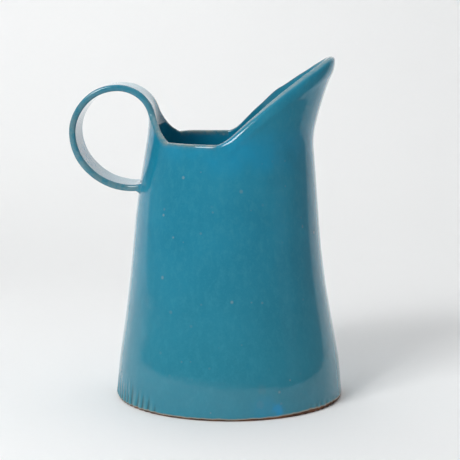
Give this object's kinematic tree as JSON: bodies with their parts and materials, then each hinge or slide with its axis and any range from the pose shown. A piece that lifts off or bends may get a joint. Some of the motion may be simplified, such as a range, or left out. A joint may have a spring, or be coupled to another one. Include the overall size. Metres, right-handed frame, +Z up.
{
  "type": "pitcher",
  "caption": "Slab-built glazed ceramic pitcher with a straight cone body, a scooped pouring spout and a looped strap handle.",
  "frame": {"origin": "centre of the base, on the surface the pitcher stands on", "axes": "+Z up, +X towards the spout, -X towards the handle"},
  "size_m": [0.1555, 0.1304, 0.1947],
  "materials": {
    "glaze": "glossy turquoise-blue glaze with pinholes and an olive-tan break on the edges",
    "bare_clay": "matt unglazed brown stoneware"
  },
  "bodies": {
    "root": {"base_slab": "bare_clay", "floor_coil": "glaze", "body_wall": "glaze", "spout": "glaze", "handle_shoulder": "glaze", "handle_strap": "glaze", "handle_pad": "glaze"}
  },
  "joints": []
}
